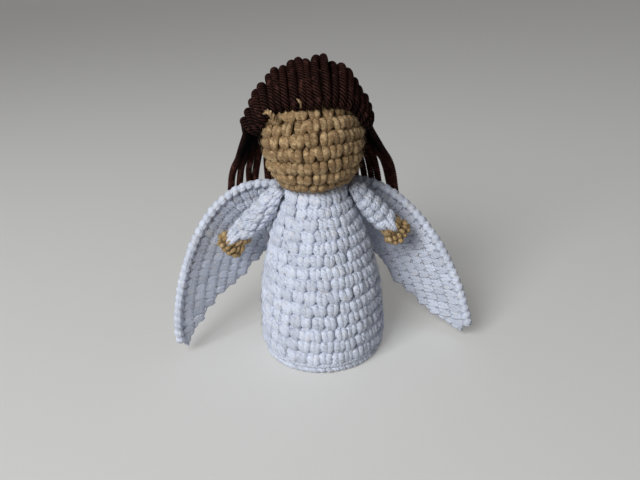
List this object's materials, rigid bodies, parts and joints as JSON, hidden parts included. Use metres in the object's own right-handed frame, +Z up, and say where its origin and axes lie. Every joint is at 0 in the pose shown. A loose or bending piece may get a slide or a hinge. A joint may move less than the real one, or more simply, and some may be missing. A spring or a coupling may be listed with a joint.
{
  "type": "crocheted angel doll",
  "caption": "Small stuffed crochet angel that stands on a flat base: white gown, plain tan head, dark yarn hair, sewn arms that swing forward and wide curved wings.",
  "frame": {"origin": "middle of the flat base disc, on the surface that the doll stands on", "axes": "+Z up, the doll faces -Y, +X towards the doll's left"},
  "size_m": [0.1234, 0.0519, 0.1174],
  "materials": {
    "white_yarn": "soft white acrylic yarn in single crochet, matt",
    "tan_yarn": "soft tan acrylic yarn in single crochet, matt",
    "gold_tan_yarn": "golden tan acrylic yarn in single crochet, matt",
    "brown_yarn": "very dark brown plied yarn with a slight sheen",
    "fibre_fill": "loose polyester fibre filling",
    "stiff_sheet": "stiff plastic sheet"
  },
  "bodies": {
    "doll": {"gown_shell": "white_yarn", "gown_base": "white_yarn", "base_ridge": "white_yarn", "base_stiffener": "stiff_sheet", "gown_stuffing": "fibre_fill", "neck_seam": "white_yarn", "head_shell": "tan_yarn", "head_stuffing": "fibre_fill", "left_arm_thread": "white_yarn", "right_arm_thread": "white_yarn", "left_wing_seam": "white_yarn", "right_wing_seam": "white_yarn", "hair_strand_01": "brown_yarn", "hair_strand_02": "brown_yarn", "hair_strand_03": "brown_yarn", "hair_strand_04": "brown_yarn", "hair_strand_05": "brown_yarn", "hair_strand_06": "brown_yarn", "hair_strand_07": "brown_yarn", "hair_strand_08": "brown_yarn", "hair_strand_09": "brown_yarn", "hair_strand_10": "brown_yarn", "hair_strand_11": "brown_yarn", "hair_strand_12": "brown_yarn", "hair_strand_13": "brown_yarn", "hair_strand_14": "brown_yarn", "hair_strand_15": "brown_yarn", "hair_strand_16": "brown_yarn", "hair_strand_17": "brown_yarn", "hair_strand_18": "brown_yarn", "hair_strand_19": "brown_yarn", "hair_strand_20": "brown_yarn", "hair_strand_21": "brown_yarn"},
    "left_arm": {"left_sleeve": "white_yarn", "left_hand": "gold_tan_yarn", "left_arm_stuffing": "fibre_fill"},
    "left_wing": {"left_wing_panel": "white_yarn", "left_wing_edging": "white_yarn"},
    "right_arm": {"right_sleeve": "white_yarn", "right_hand": "gold_tan_yarn", "right_arm_stuffing": "fibre_fill"},
    "right_wing": {"right_wing_panel": "white_yarn", "right_wing_edging": "white_yarn"}
  },
  "joints": [
    {"name": "left_shoulder", "type": "hinge", "parent": "doll", "child": "left_arm", "pos_m": [0.01511, 0, 0.06675], "axis": [-0.9228, 0, -0.3854], "range_deg": [0, 100]},
    {"name": "left_wing_hinge", "type": "hinge", "parent": "doll", "child": "left_wing", "pos_m": [0.0065, 0.01754, 0.0585], "axis": [0, -0.3911, 0.9203], "range_deg": [-2, 7]},
    {"name": "right_shoulder", "type": "hinge", "parent": "doll", "child": "right_arm", "pos_m": [-0.01511, 0, 0.06675], "axis": [-0.9228, 0, 0.3854], "range_deg": [0, 100]},
    {"name": "right_wing_hinge", "type": "hinge", "parent": "doll", "child": "right_wing", "pos_m": [-0.0065, 0.01754, 0.0585], "axis": [0, 0.3911, -0.9203], "range_deg": [-2, 7]}
  ]
}
